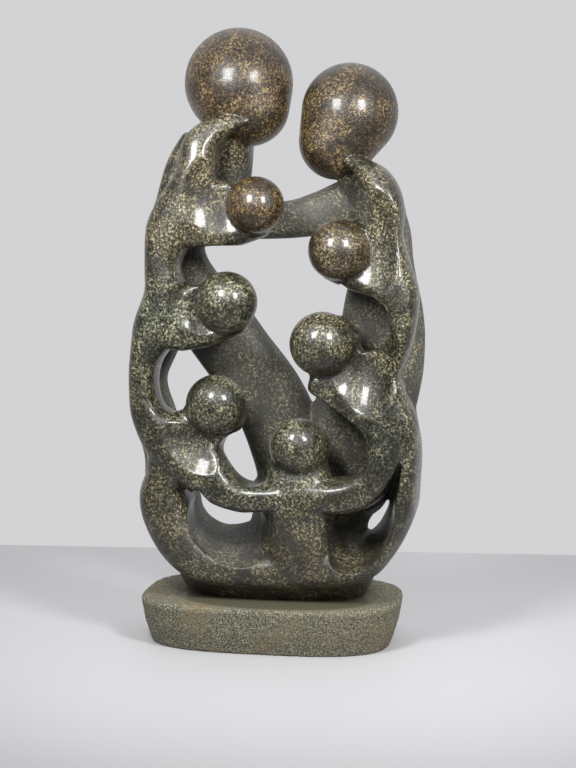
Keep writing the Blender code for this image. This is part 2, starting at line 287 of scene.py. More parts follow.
    def _strokes(self, tree: Tree, place: Socket) -> Socket:
        """Draws pale strokes: thin level lines of shifted noises, broken by another noise.

        Args:
            tree: Tree that takes the nodes.
            place: Object coordinates.

        Returns:
            The strokes' mask.
        """
        lines: Any = 0.0
        for shift in self.stroke_shifts:
            spot = add_node(tree, "ShaderNodeMapping", {
                "Vector": place, "Location": (shift, shift, -shift),
            })
            noise = add_node(tree, "ShaderNodeTexNoise", {
                "Vector": spot.outputs[0], "Scale": 1 / (self.stroke_mm * MM), "Detail": 1.0,
                "Distortion": self.stroke_curl,
            })
            off = add_node(tree, "ShaderNodeMath", {
                0: noise.outputs["Fac"], 1: NOISE_MIDDLE,
            }, operation="SUBTRACT")
            level = add_node(tree, "ShaderNodeMath", {0: off.outputs[0]}, operation="ABSOLUTE")
            line = add_node(tree, "ShaderNodeMapRange", {
                "Value": level.outputs[0], **window(0.0, self.stroke_share),
                "To Min": 1.0, "To Max": 0.0,
            })
            lines = add_node(tree, "ShaderNodeMath", {0: line.outputs[0], 1: lines},
                             operation="MAXIMUM").outputs[0]
        gaps = add_node(tree, "ShaderNodeTexNoise", {
            "Vector": place, "Scale": 1 / (self.break_mm * MM), "Detail": 1.0,
        })
        kept = add_node(tree, "ShaderNodeMapRange", {
            "Value": gaps.outputs["Fac"], **window(*self.break_window),
        })
        return add_node(tree, "ShaderNodeMath", {0: lines, 1: kept.outputs[0]},
                        operation="MULTIPLY").outputs[0]

    def _relief(self, tree: Tree, place: Socket,
                grain: Socket) -> Socket:
        """Gives the polish faint hand-rubbed ripples and open grain.

        Args:
            tree: Tree that takes the nodes.
            place: Object coordinates.
            grain: Share of olive crumbs.

        Returns:
            The normal.
        """
        ripple = add_node(tree, "ShaderNodeTexNoise", {
            "Vector": place, "Scale": 1 / (self.ripple_mm * MM), "Detail": 2.0,
        })
        rubbed = add_node(tree, "ShaderNodeBump", {
            "Height": ripple.outputs["Fac"], "Strength": self.ripple_strength,
            "Distance": self.ripple_depth_mm * MM,
        })
        pores = add_node(tree, "ShaderNodeBump", {
            "Height": grain, "Strength": self.pore_strength,
            "Distance": self.pore_depth_mm * MM, "Normal": rubbed.outputs[0],
        })
        return pores.outputs[0]


@dataclass(frozen=True)
class PeckedSerpentine:
    """Serpentine left pecked: the point has bruised it to a dry grey-olive crumb.

    The eye sees a matt salt-and-pepper grain with no highlight, warm in patches, and a
    half-waxed strip, smoother in colour, where the foot's polish runs over the top.
    """

    name: str = "pecked_serpentine"
    dark: str = "#24221b"
    middle: str = "#5c5949"
    light: str = "#a6a28d"
    warm: str = "#77694d"
    waxed: str = "#575444"
    grain_mm: float = 0.9
    stain_mm: float = 30.0
    dark_at: float = 0.34
    middle_at: float = 0.5
    light_at: float = 0.68
    stain_window: Pair = (0.48, 0.7)
    stain_most: float = 0.5
    refraction: float = 1.5
    roughness: float = 0.85
    waxed_roughness: float = 0.42

    def build(self) -> bpy.types.Material:
        """Builds the material.

        Returns:
            The finished material.
        """
        material, tree, place = start_material(self.name)
        polish = add_node(
            tree, "ShaderNodeAttribute", attribute_name=Zone.POLISH.value).outputs["Fac"]
        crumb = add_node(tree, "ShaderNodeTexNoise", {
            "Vector": place, "Scale": 1 / (self.grain_mm * MM), "Detail": 2.0, "Roughness": 0.7,
        })
        ramp = add_node(tree, "ShaderNodeValToRGB", {"Fac": crumb.outputs["Fac"]})
        ramp.color_ramp.elements[0].position = self.dark_at
        ramp.color_ramp.elements[0].color = linear(self.dark)
        ramp.color_ramp.elements[1].position = self.light_at
        ramp.color_ramp.elements[1].color = linear(self.light)
        ramp.color_ramp.elements.new(self.middle_at).color = linear(self.middle)
        stain = add_node(tree, "ShaderNodeTexNoise", {
            "Vector": place, "Scale": 1 / (self.stain_mm * MM), "Detail": 3.0,
        })
        stained = add_node(tree, "ShaderNodeMapRange", {
            "Value": stain.outputs["Fac"], **window(*self.stain_window), "To Max": self.stain_most,
        })
        colour = ramp.outputs[0]
        for share, over in ((stained.outputs[0], self.warm), (polish, self.waxed)):
            colour = add_node(tree, "ShaderNodeMix", {0: share, 6: colour, 7: linear(over)},
                              data_type="RGBA").outputs[2]
        gloss = add_node(tree, "ShaderNodeMapRange", {
            "Value": polish, "To Min": self.roughness, "To Max": self.waxed_roughness,
        })
        shader = add_node(tree, "ShaderNodeBsdfPrincipled", {
            "Base Color": colour, "Roughness": gloss.outputs[0], "IOR": self.refraction,
        })
        add_node(tree, "ShaderNodeOutputMaterial", {"Surface": shader.outputs[0]})
        return material


@dataclass(frozen=True)
class Limb:
    """A carved limb: a tube of soft rectangular section along its stations.

    Each station is x, z and half width, then the middle of depth and the half depth where
    they aren't the limb's usual ones, in millimetres.
    """

    name: str
    stations: tuple[tuple[float, ...], ...]
    usual: Pair = FRONT
    squareness: float = 2.7
    sides: int = 48
    step: float = 0.002
    tangent_reach: float = 0.05
    cap_rings: int = 6
    cap_reach: float = 0.5

    def add_to(self, mesh: Mesh) -> None:
        """Adds the limb to a mesh as one closed body.

        Args:
            mesh: Mesh that takes the limb.
        """
        rows = [(*row[:3], *(row[3:] or self.usual)) for row in self.stations]
        middles = [Vector((x, y, z)) * MM for x, z, _, y, _ in rows]
        sizes = [Vector((w, d, 0.0)) * MM for _, _, w, _, d in rows]
        length = sum((b - a).length for a, b in zip(middles, middles[1:]))
        steps = max(4, int(length / self.step))
        last = len(self.stations) - 1
        path = []
        for k in range(steps + 1):
            at = last * k / steps
            ahead = blend(middles, min(at + self.tangent_reach, last))
            behind = blend(middles, max(at - self.tangent_reach, 0.0))
            path.append((blend(middles, at), blend(sizes, at), (ahead - behind).normalized()))
        body = [self._ring(place, size, along, 1.0) for place, size, along in path]
        head = self._dome(path[0], -1)
        foot = self._dome(path[-1], 1)
        skin(mesh, head[0][::-1] + body + foot[0], head[1], foot[1])

    def _dome(self, end: tuple[Vector, Vector, Vector],
              sign: int) -> tuple[list[list[Vector]], Vector]:
        """Closes one end with a dome.

        Args:
            end: The end section's place, size and direction.
            sign: 1 where the dome points along the limb, -1 against it.

        Returns:
            The dome's rings and its tip.
        """
        place, size, along = end
        rings = []
        for k in range(1, self.cap_rings + 1):
            turn = 0.5 * math.pi * k / (self.cap_rings + 0.5)
            centre = place + along * (sign * size.x * self.cap_reach * math.sin(turn))
            rings.append(self._ring(centre, size, along, math.cos(turn)))
        return rings, place + along * (sign * size.x * self.cap_reach)

    def _ring(self, place: Vector, size: Vector, along: Vector, share: float) -> list[Vector]:
        """Draws one section.

        Args:
            place: Middle of the section.
            size: Half width and half depth.
            along: Direction of the limb.
            share: Share of the full size.

        Returns:
            The section's points.
        """
        across = Vector((along.z, 0.0, -along.x)).normalized()
        points = []
        for i in range(self.sides):
            c, s = soft_corner(math.tau * i / self.sides, self.squareness)
            deep = Vector((0.0, size.y * s * share, 0.0))
            points.append(place + across * (size.x * c * share) + deep)
        return points


@dataclass(frozen=True)
class Dish:
    """A shallow dish that a rounded cutter sinks beside a child's head, in mm."""

    name: str
    centre: Place
    reach: Place
    fineness: int = 6

    def build(self) -> Body:
        """Builds the cutter.

        Returns:
            The cutter's object.
        """
        mesh = bmesh.new()
        reach = [size * MM for size in self.reach]
        add_ball(mesh, Vector(self.centre) * MM, reach, self.fineness)
        return new_object(self.name, mesh)


@dataclass(frozen=True)
class Bay:
    """A bay of the front ring: a smooth rim and the corners that close it, in mm."""

    name: str
    rim: Flat
    corners: Flat
    steps: int = 8
    front: float = -70.0
    back: float = 30.0

    def add_to(self, mesh: Mesh) -> None:
        """Adds the bay's cutter to a mesh.

        Args:
            mesh: Mesh that takes the cutter.
        """
        outline = smooth_line(self.rim, self.steps, closed=False)
        outline += [Vector(corner) for corner in self.corners]
        prism(mesh, (outline, outline), (self.front, self.back))


@dataclass(frozen=True)
class Hollow:
    """A hollow of the bowl, from a wide rim in front to a small mouth behind, in mm."""

    name: str
    rim: Flat
    mouth: Flat
    steps: int = 10
    depths: tuple[float, float, float, float] = (-70.0, -45.0, 40.0, 60.0)

    def add_to(self, mesh: Mesh) -> None:
        """Adds the hollow's cutter to a mesh.

        Args:
            mesh: Mesh that takes the cutter.
        """
        rim = smooth_line(self.rim, self.steps, closed=True)
        mouth = smooth_line(self.mouth, self.steps, closed=True)
        prism(mesh, (rim, rim, mouth, mouth), self.depths)


def blend(points: list[Vector], at: float) -> Vector:
    """Finds a point of the smooth curve through stations.

    Args:
        points: The stations.
        at: Whole or part station.

    Returns:
        The point.
    """
    last = len(points) - 1
    i = min(int(at), last - 1)
    t = at - i
    p1, p2 = points[i], points[i + 1]
    p0 = points[i - 1] if i > 0 else 2 * p1 - p2
    p3 = points[i + 2] if i + 2 <= last else 2 * p2 - p1
    pull = 2 * p1 + (p2 - p0) * t + (2 * p0 - 5 * p1 + 4 * p2 - p3) * t * t
    return 0.5 * (pull + (3 * p1 - p0 - 3 * p2 + p3) * t ** 3)


def smooth_line(points: Flat, steps: int, closed: bool) -> list[Vector]:
    """Draws the smooth curve through flat points.

    Args:
        points: Points of x and z.
        steps: Shares of each span.
        closed: Whether the last point leads back to the first.

    Returns:
        The curve's points.
    """
    flat = [Vector(p) for p in points]
    count = len(flat)
    if not closed:
        return [blend(flat, k / steps) for k in range((count - 1) * steps + 1)]
    around = flat[-2:] + flat + flat[:3]
    return [blend(around, 2 + k / steps) for k in range(count * steps)]


def walls(mesh: Mesh, rings: list[list[Vector]]) -> list[list[bmesh.types.BMVert]]:
    """Adds the faces between rings of points.

    Args:
        mesh: Mesh that takes the faces.
        rings: Rings with equal counts of points.

    Returns:
        The rings' vertices.
    """
    made = [[mesh.verts.new(p) for p in ring] for ring in rings]
    count = len(rings[0])
    for low, high in zip(made, made[1:]):
        for i in range(count):
            j = (i + 1) % count
            mesh.faces.new((low[i], low[j], high[j], high[i]))
    return made


def prism(mesh: Mesh, outlines: tuple[list[Vector], ...],
          depths: tuple[float, ...]) -> None:
    """Adds a body through like outlines, each at its own depth.

    Args:
        mesh: Mesh that takes the body.
        outlines: Outlines of x and z in millimetres, with equal counts of points.
        depths: Each outline's y in millimetres.
    """
    made = walls(mesh, [
        [Vector((x, y, z)) * MM for x, z in line] for line, y in zip(outlines, depths)
    ])
    mesh.faces.new(made[0])
    mesh.faces.new(made[-1])


def soft_corner(angle: float, squareness: float) -> Pair:
    """Pushes cosine and sine out towards a rounded rectangle.

    Args:
        angle: Angle round the section.
        squareness: 2 is an ellipse, more is squarer.

    Returns:
        The pushed cosine and sine.
    """
    power = 2.0 / squareness
    c, s = math.cos(angle), math.sin(angle)
    return math.copysign(abs(c) ** power, c), math.copysign(abs(s) ** power, s)


def soft_ring(middle: Pair, reach: Pair, z: float,
              sides: int, squareness: float) -> list[Vector]:
    """Draws a level ring, an oblong with rounded corners.

    Args:
        middle: Its middle's x and y.
        reach: Half its length and depth.
        z: Its height.
        sides: Count of points.
        squareness: 2 is an ellipse, more is squarer.

    Returns:
        The ring's points.
    """
    ring = []
    for i in range(sides):
        c, s = soft_corner(math.tau * i / sides, squareness)
        ring.append(Vector((middle[0] + reach[0] * c, middle[1] + reach[1] * s, z)))
    return ring


def skin(mesh: Mesh, rings: list[list[Vector]], first: Vector, last: Vector) -> None:
    """Adds faces between rings of points, closed at both ends onto a point.

    Args:
        mesh: Mesh that takes the faces.
        rings: Rings with equal counts of points.
        first: Point that closes the first ring.
        last: Point that closes the last ring.
    """
    made = walls(mesh, rings)
    for ring, tip in ((made[0], mesh.verts.new(first)), (made[-1], mesh.verts.new(last))):
        for i in range(len(ring)):
            mesh.faces.new((ring[i], ring[(i + 1) % len(ring)], tip))


def add_ball(mesh: Mesh, centre: Vector, reach: list[float], fineness: int) -> None:
    """Adds a ball, stretched where its reach differs along x, y and z."""
    place = Matrix.Translation(centre) @ Matrix.Diagonal((*reach, 1.0))
    bmesh.ops.create_icosphere(mesh, subdivisions=fineness, radius=1.0, matrix=place)


def new_object(name: str, mesh: Mesh) -> Body:
    """Turns a mesh in the making into a linked object.

    Args:
        name: Name of the object.
        mesh: Mesh in the making, freed afterwards.

    Returns:
        The object.
    """
    bmesh.ops.recalc_face_normals(mesh, faces=mesh.faces[:])
    data = bpy.data.meshes.new(name)
    mesh.to_mesh(data)
    mesh.free()
    made = bpy.data.objects.new(name, data)
    bpy.context.scene.collection.objects.link(made)
    return made


def apply_modifiers(piece: Body) -> None:
    """Bakes the live modifiers into the object's own mesh.

    Args:
        piece: Object whose modifiers become mesh.
    """
    graph = bpy.context.evaluated_depsgraph_get()
    baked = bpy.data.meshes.new_from_object(piece.evaluated_get(graph), depsgraph=graph)
    piece.modifiers.clear()
    piece.data = baked


@dataclass(frozen=True)
class Head:
    """A ball head, with a chin where it has one. Sizes in metres."""

    name: str
    centre: Place
    radius: float
    warmth: float
    chin: Optional[Place] = None
    chin_radius: float = 0.0
    polish: float = 1.0
    fineness: int = 5

    def build(self) -> Body:
        """Builds the head as a closed egg or ball.

        Returns:
            The head's object.
        """
        mesh = bmesh.new()
        add_ball(mesh, Vector(self.centre), [self.radius] * 3, self.fineness)
        if self.chin is not None:
            add_ball(mesh, Vector(self.chin), [self.chin_radius] * 3, self.fineness)
            mesh = self._wrap(mesh)
        return new_object(self.name, mesh)

    @staticmethod
    def _wrap(mesh: Mesh) -> Mesh:
        """Draws the tightest skin round a mesh's points.

        Args:
            mesh: Mesh of the points, freed afterwards.

        Returns:
            The skin.
        """
        wrapped = bmesh.new()
        for vert in mesh.verts:
            wrapped.verts.new(vert.co)
        mesh.free()
        bmesh.ops.convex_hull(wrapped, input=wrapped.verts[:])
        inside = [vert for vert in wrapped.verts if not vert.link_faces]
        bmesh.ops.delete(wrapped, geom=inside, context="VERTS")
        return wrapped


def read_points(piece: Body) -> np.ndarray:
    """Reads the places of an object's points.

    Args:
        piece: Object with a mesh.

    Returns:
        One row of x, y and z for each point.
    """
    points = np.empty(len(piece.data.vertices) * 3)
    piece.data.vertices.foreach_get("co", points)
    return points.reshape(-1, 3)


def write_zone(piece: Body, zone: Zone, values: np.ndarray) -> None:
    """Writes one zone's share at each point as an attribute of the mesh."""
    layer = piece.data.attributes.new(zone.value, "FLOAT", "POINT")
    layer.data.foreach_set("value", values.astype(np.float32))


def cut(piece: Body, other: Body, operation: str) -> None:
    """Joins another closed body to the piece, or cuts it away, and removes that body.

    Args:
        piece: Piece that is changed.
        other: Body that joins or cuts.
        operation: UNION or DIFFERENCE.
    """
    step = piece.modifiers.new(other.name, "BOOLEAN")
    step.operation = operation
    step.solver = "MANIFOLD"
    step.object = other
    apply_modifiers(piece)
    bpy.data.objects.remove(other, do_unlink=True)


def melt(piece: Body, cell: float, smooth_steps: int) -> None:
    """Fuses overlapping bodies into one skin and softens it.

    Args:
        piece: Object of overlapping closed bodies.
        cell: Size of the skin's faces.
        smooth_steps: Rounds of softening.
    """
    skin_over = piece.modifiers.new("melt", "REMESH")
    skin_over.mode = "VOXEL"
    skin_over.voxel_size = cell
    soften = piece.modifiers.new("soften", "SMOOTH")
    soften.factor = 0.5
    soften.iterations = smooth_steps
    apply_modifiers(piece)


@dataclass(frozen=True)
class Relief:
    """Fine relief that a Geometry Nodes tree raises along a skin's normals.

    A noise gives its height, about a rest level below. Pits are added to it for pecking,
    which fades out where the stone is waxed. Sizes in metres.
    """

    name: str
    pitch: float
    depth: float
    rest: float
    detail: float
    pitted: bool = False

    def apply(self, piece: Body, stone: bpy.types.Material) -> None:
        """Raises the relief and puts the finish on the skin.

        Args:
            piece: Object whose mesh takes the relief.
            stone: Finish that the tree puts on the skin.
        """
        tree = bpy.data.node_groups.new(self.name, "GeometryNodeTree")
        face = tree.interface
        face.new_socket("Geometry", in_out="INPUT", socket_type="NodeSocketGeometry")
        pitch = face.new_socket("Pitch", in_out="INPUT", socket_type="NodeSocketFloat")
        depth = face.new_socket("Depth", in_out="INPUT", socket_type="NodeSocketFloat")
        material = face.new_socket("Stone", in_out="INPUT", socket_type="NodeSocketMaterial")
        face.new_socket("Geometry", in_out="OUTPUT", socket_type="NodeSocketGeometry")
        entry = add_node(tree, "NodeGroupInput")
        normal = add_node(tree, "GeometryNodeInputNormal")
        rise = add_node(tree, "ShaderNodeMath", {
            0: self._height(tree, entry.outputs["Pitch"]), 1: entry.outputs["Depth"],
        }, operation="MULTIPLY")
        shift = add_node(tree, "ShaderNodeVectorMath", {
            0: normal.outputs[0], "Scale": rise.outputs[0],
        }, operation="SCALE")
        moved = add_node(tree, "GeometryNodeSetPosition", {
            "Geometry": entry.outputs["Geometry"], "Offset": shift.outputs[0],
        })
        real = add_node(tree, "GeometryNodeRealizeInstances", {"Geometry": moved.outputs[0]})
        dressed = add_node(tree, "GeometryNodeSetMaterial", {
            "Geometry": real.outputs[0], "Material": entry.outputs["Stone"],
        })
        add_node(tree, "NodeGroupOutput", {"Geometry": dressed.outputs[0]})
        step = piece.modifiers.new(self.name, "NODES")
        step.node_group = tree
        for socket, value in ((pitch, self.pitch), (depth, self.depth), (material, stone)):
            step[socket.identifier] = value
        apply_modifiers(piece)

    def _height(self, tree: Tree, pitch: Socket) -> Socket:
        """Adds the nodes of the relief's height.

        Args:
            tree: Tree that takes the nodes.
            pitch: Size of the pattern.

        Returns:
            The height as a share of the depth.
        """
        rate = add_node(tree, "ShaderNodeMath", {0: 1.0, 1: pitch}, operation="DIVIDE")
        spot = {
            "Vector": add_node(tree, "GeometryNodeInputPosition").outputs[0],
            "Scale": rate.outputs[0],
        }
        noise = add_node(tree, "ShaderNodeTexNoise", {**spot, "Detail": self.detail})
        height = noise.outputs["Fac"]
        if self.pitted:
            pits = add_node(tree, "ShaderNodeTexVoronoi", {**spot, "Randomness": 1.0})
            height = add_node(tree, "ShaderNodeMath", {
                0: pits.outputs["Distance"], 1: height,
            }, operation="ADD").outputs[0]
        level = add_node(tree, "ShaderNodeMath", {0: height, 1: self.rest}, operation="SUBTRACT")
        if not self.pitted:
            return level.outputs[0]
        waxed = add_node(tree, "GeometryNodeInputNamedAttribute", {
            "Name": Zone.POLISH.value,
        }, data_type="FLOAT")
        matt = add_node(tree, "ShaderNodeMath", {0: 1.0, 1: waxed.outputs[0]}, operation="SUBTRACT")
        return add_node(tree, "ShaderNodeMath", {
            0: level.outputs[0], 1: matt.outputs[0],
        }, operation="MULTIPLY").outputs[0]


@dataclass(frozen=True)
class Stain:
    """A cloud of warmer or colder stone. Sizes in metres."""

    centre: Place
    reach: float
    warmth: float


@dataclass
class Figure:
    """The carved figure from its foot to the adult heads.

    A fade is the distance over which one zone passes into the next.
    """

    name: str = "carved_figure"
    cell: float = 0.00125
    smooth_steps: int = 4
    dish_steps: int = 4
    rim_cell: float = 0.00095
    rim_steps: int = 1
    triangle_limit: int = 190_000
    crease_angle: float = math.radians(50)
    # painted shade in a thin band round each child's head, where it meets the body
    crease_reach: float = 0.0012
    crease_painted_shade: float = 0.7
    crease_start: float = 0.0006
    head_skin: float = 0.0012
    head_fade: float = 0.001
    body_warmth: float = 0.38
    inner_depth: float = -0.014
    inner_fade: float = 0.009
    inner_top: float = 0.335
    inner_dulling: float = 0.8
    inner_paling: float = 0.55
    bowl_top: float = 0.098
    bowl_fade: float = 0.012
    bowl_dulling: float = 0.45
    bowl_paling: float = 0.15
    # painted shade on the back surfaces high in the neck hollows, below the adults' heads
    neck_foot: float = 0.310
    neck_fade: float = 0.01
    neck_painted_shade: float = 0.5
    chin_balls: int = 9
    stains: tuple[Stain, ...] = (
        Stain((-0.050, -0.040, 0.330), 0.035, 0.60),
        Stain((-0.060, -0.045, 0.280), 0.030, 0.50),
        Stain((-0.070, -0.045, 0.225), 0.030, 0.05),
        Stain((0.000, -0.045, 0.105), 0.045, 0.05),
        Stain((0.080, -0.045, 0.150), 0.030, 0.10),
        Stain((0.020, -0.040, 0.060), 0.040, 0.65),
        Stain((-0.070, -0.030, 0.085), 0.030, 0.55),
        Stain((0.080, -0.040, 0.300), 0.030, 0.45),
    )
    foot_middle: Pair = (2.5, 2)
    foot_squareness: float = 2.4
    foot_sides: int = 96
    foot_sections: tuple[Place, ...] = (
        (24, 63, 28), (33, 63, 28), (37, 65, 32), (43, 68, 37), (50, 70, 41), (57, 69, 41),
    )
    heads: tuple[Head, ...] = (
        Head("father_head", (-0.0229, 0.0, 0.3832), 0.0368, 0.95,
             (-0.0153, -0.004, 0.3680), 0.0277, 0.88),
        Head("mother_head", (0.0532, 0.0, 0.3630), 0.0326, 0.9,
             (0.0450, -0.004, 0.3433), 0.0256, 0.92),
        Head("child_head_1", (-0.0048, -0.034, 0.3008), 0.0189, 1.0),
        Head("child_head_2", (0.0508, -0.034, 0.2713), 0.0203, 0.75),
        Head("child_head_3", (-0.0247, -0.034, 0.2363), 0.0205, 0.2),
        Head("child_head_4", (0.0397, -0.034, 0.2090), 0.0215, 0.35),
        Head("child_head_5", (-0.0323, -0.034, 0.1670), 0.0205, 0.2),
        Head("child_head_6", (0.0235, -0.034, 0.1401), 0.0191, 0.25),
    )
    polish: Relief = Relief("hand_polish", 0.014, 0.00035, NOISE_MIDDLE, 1.0)
    front: tuple[Limb, ...] = field(default_factory=lambda: FRONT_LIMBS)
    back: tuple[Limb, ...] = field(default_factory=lambda: BACK_LIMBS)
    dishes: tuple[Dish, ...] = field(default_factory=lambda: DISHES)
    bays: tuple[Bay, ...] = field(default_factory=lambda: BAYS)
    hollows: tuple[Hollow, ...] = field(default_factory=lambda: HOLLOWS)

    def build(self, finish: Serpentine) -> Body:
        """Cuts the figure and dresses it.

        Args:
            finish: The stone's finish.

        Returns:
            The finished piece.
        """
        piece = self._front_ring()
        for dish in self.dishes:
            cut(piece, dish.build(), "DIFFERENCE")
        melt(piece, self.cell, self.dish_steps)
        cut(piece, self._cutters("bays", self.bays), "DIFFERENCE")
        cut(piece, self._back_bodies(), "UNION")
        cut(piece, self._cutters("hollows", self.hollows), "DIFFERENCE")
        for head in self.heads:
            cut(piece, head.build(), "UNION")
        melt(piece, self.rim_cell, self.rim_steps)
        self._thin(piece)
        self.polish.apply(piece, finish.build())
        self._zones(piece)
        piece.data.shade_smooth()
        piece.data.set_sharp_from_angle(angle=self.crease_angle)
        return piece

    def _front_ring(self) -> Body:
        """Fuses the arms, legs, children's slabs and foot into one skin.

        Returns:
            The front layer.
        """
        mesh = bmesh.new()
        for limb in self.front:
            limb.add_to(mesh)
        middle, low, high = self.foot_middle, self.foot_sections[0][0], self.foot_sections[-1][0]
        form = (self.foot_sides, self.foot_squareness)
        rings = [
            [point * MM for point in soft_ring(middle, (a, b), z, *form)]
            for z, a, b in self.foot_sections
        ]
        skin(mesh, rings, Vector((*middle, low)) * MM, Vector((*middle, high)) * MM)
        piece = new_object(self.name, mesh)
        melt(piece, self.cell, self.smooth_steps)
        return piece

    def _back_bodies(self) -> Body:
        """Fuses the adults' bodies behind the ring into one skin.

        Returns:
            The back layer.
        """
        mesh = bmesh.new()
        for limb in self.back:
            limb.add_to(mesh)
        piece = new_object("back_bodies", mesh)
        melt(piece, self.cell, self.smooth_steps)
        return piece

    @staticmethod
    def _cutters(name: str, shapes: tuple[Any, ...]) -> Body:
        """Gathers the cutters of all the shapes.

        Args:
            name: Name of the object.
            shapes: Bays or hollows.

        Returns:
            One object that holds them all.
        """
        mesh = bmesh.new()
        for shape in shapes:
            shape.add_to(mesh)
        return new_object(name, mesh)

    def _thin(self, piece: Body) -> None:
        """Keeps the piece under its limit of triangles.

        Args:
            piece: Piece that is thinned.
        """
        count = sum(len(face.vertices) - 2 for face in piece.data.polygons)
        if count > self.triangle_limit:
            fewer = piece.modifiers.new("thin", "DECIMATE")
            fewer.ratio = self.triangle_limit / count
            apply_modifiers(piece)

    def _zones(self, piece: Body) -> None:
        """Writes the attributes that tell the finish where the stone changes and shade is painted.

        Args:
            piece: The figure.
        """
        points = read_points(piece)
        count = len(points)
        warmth = np.full(count, self.body_warmth)
        for stain in self.stains:
            away = np.linalg.norm(points - np.array(stain.centre), axis=1)
            share = np.exp(-(away / stain.reach) ** 2)
            warmth = warmth * (1 - share) + stain.warmth * share
        painted_shade = np.zeros(count)
        shine = np.ones(count)
        heads_share = np.zeros(count)
        for head in self.heads:
            gap = self._gap(points, head)
            on_head = np.clip((self.head_skin - gap) / self.head_fade, 0.0, 1.0)
            warmth = warmth * (1 - on_head) + head.warmth * on_head
            shine = shine * (1 - on_head) + head.polish * on_head
            heads_share = np.maximum(heads_share, on_head)
            if head.chin is None:
                # painted shade: a dark band just outside each child's head, in the crease
                crease = np.exp(-((gap - self.crease_reach) / self.crease_reach) ** 2)
                painted_shade = np.maximum(painted_shade, self.crease_painted_shade * crease * (gap > self.crease_start))
        inner = np.clip((points[:, 1] - self.inner_depth) / self.inner_fade, 0.0, 1.0)
        below_heads = np.clip((self.inner_top - points[:, 2]) / self.neck_fade, 0.0, 1.0)
        bowl = np.clip((self.bowl_top - points[:, 2]) / self.bowl_fade, 0.0, 1.0)
        # painted shade on the back surfaces in the neck hollows, kept off the heads
        neck = inner * np.clip((points[:, 2] - self.neck_foot) / self.neck_fade, 0.0, 1.0)
        painted_shade = np.maximum(painted_shade, self.neck_painted_shade * neck * (1.0 - heads_share))
        back = inner * below_heads
        polish = shine * (1.0 - np.maximum(self.inner_dulling * back, self.bowl_dulling * bowl))
        pale = np.maximum(self.inner_paling * back, self.bowl_paling * bowl)
        for zone, values in zip(Zone, (warmth, polish, pale, painted_shade)):
            write_zone(piece, zone, values)

    def _gap(self, points: np.ndarray, head: Head) -> np.ndarray:
        """Measures how far outside a head each point is.

        Args:
            points: Places of the points.
            head: Ball, drawn out to its chin's ball where it has one.

        Returns:
            The distances, below zero inside.
        """
        gaps = [np.linalg.norm(points - np.array(head.centre), axis=1) - head.radius]
        if head.chin is not None:
            for share in np.linspace(0.0, 1.0, self.chin_balls):
                middle = (1 - share) * np.array(head.centre) + share * np.array(head.chin)
                radius = (1 - share) * head.radius + share * head.chin_radius
                gaps.append(np.linalg.norm(points - middle, axis=1) - radius)
        return np.min(gaps, axis=0)


@dataclass
class Plinth:
    """The rounded oblong plinth, pecked all over but for the waxed strip in front."""

    name: str = "pecked_plinth"
    length: float = 0.181
    depth: float = 0.114
    height: float = 0.0325
    taper: float = 0.007
    mid_inset: float = 0.35
    squareness: float = 3.1
    top_edge: float = 0.0035
    edge_steps: int = 6
    sides: int = 240
    cell: float = 0.0010
    strip_middle: Pair = (0.006, -0.022)
    strip_reach: Pair = (0.070, 0.033)
    strip_fade: float = 0.08
    strip_depth: float = 0.003
    strip_top_fade: float = 0.002
    pecking: Relief = Relief("pecked_relief", 0.0017, 0.0007, 1.4, 2.0, pitted=True)

    def build(self, finish: PeckedSerpentine) -> Body:
        """Cuts the plinth, pecks it and dresses it.

        Args:
            finish: The pecked stone's finish.

        Returns:
            The finished piece.
        """
        piece = self._block()
        cells = piece.modifiers.new("cells", "REMESH")
        cells.mode = "VOXEL"
        cells.voxel_size = self.cell
        apply_modifiers(piece)
        self._zones(piece)
        self.pecking.apply(piece, finish.build())
        for vert in piece.data.vertices:
            vert.co.z = max(vert.co.z, 0.0)
        piece.data.shade_smooth()
        return piece

    def _block(self) -> Body:
        """Draws the plain block with its softened top edge.

        Returns:
            The block.
        """
        half_length, half_depth = self.length / 2, self.depth / 2
        side = self.height - self.top_edge
        levels = [(0.0, self.taper), (side * 0.5, self.taper * self.mid_inset)]
        for k in range(self.edge_steps + 1):
            turn = 0.5 * math.pi * k / self.edge_steps
            inset = self.top_edge * (1 - math.cos(turn))
            levels.append((side + self.top_edge * math.sin(turn), inset))
        form = (self.sides, self.squareness)
        rings = [
            soft_ring((0.0, 0.0), (half_length - inset, half_depth - inset), z, *form)
            for z, inset in levels
        ]
        mesh = bmesh.new()
        skin(mesh, rings, Vector((0, 0, 0)), Vector((0, 0, self.height)))
        return new_object(self.name, mesh)

    def _zones(self, piece: Body) -> None:
        """Marks the waxed strip in front of the foot.

        Args:
            piece: The plinth.
        """
        points = read_points(piece)
        along = (points[:, 0] - self.strip_middle[0]) / self.strip_reach[0]
        across = (points[:, 1] - self.strip_middle[1]) / self.strip_reach[1]
        reach = np.hypot(along, across)
        inside = np.clip((1.0 - reach) / self.strip_fade, 0.0, 1.0)
        depth = points[:, 2] - self.height + self.strip_depth
        top = np.clip(depth / self.strip_top_fade, 0.0, 1.0)
        write_zone(piece, Zone.POLISH, inside * top)


@dataclass(frozen=True)
class Lamp:
    """A soft oblong lamp: its place, width, height and power."""

    name: str
    place: Place
    width: float
    height: float
    power: float
    spread: float = math.radians(110)

    def build(self, aim: Vector) -> None:
        """Hangs the lamp.

        Args:
            aim: Point that the lamp faces.
        """
        data = bpy.data.lights.new(self.name, "AREA")
        data.shape = "RECTANGLE"
        data.size, data.size_y = self.width, self.height
        data.energy = self.power
        data.spread = self.spread
        made = bpy.data.objects.new(self.name, data)
        made.location = self.place
        made.rotation_euler = (aim - Vector(self.place)).to_track_quat("-Z", "Y").to_euler()
        made.visible_camera = False
        bpy.context.scene.collection.objects.link(made)


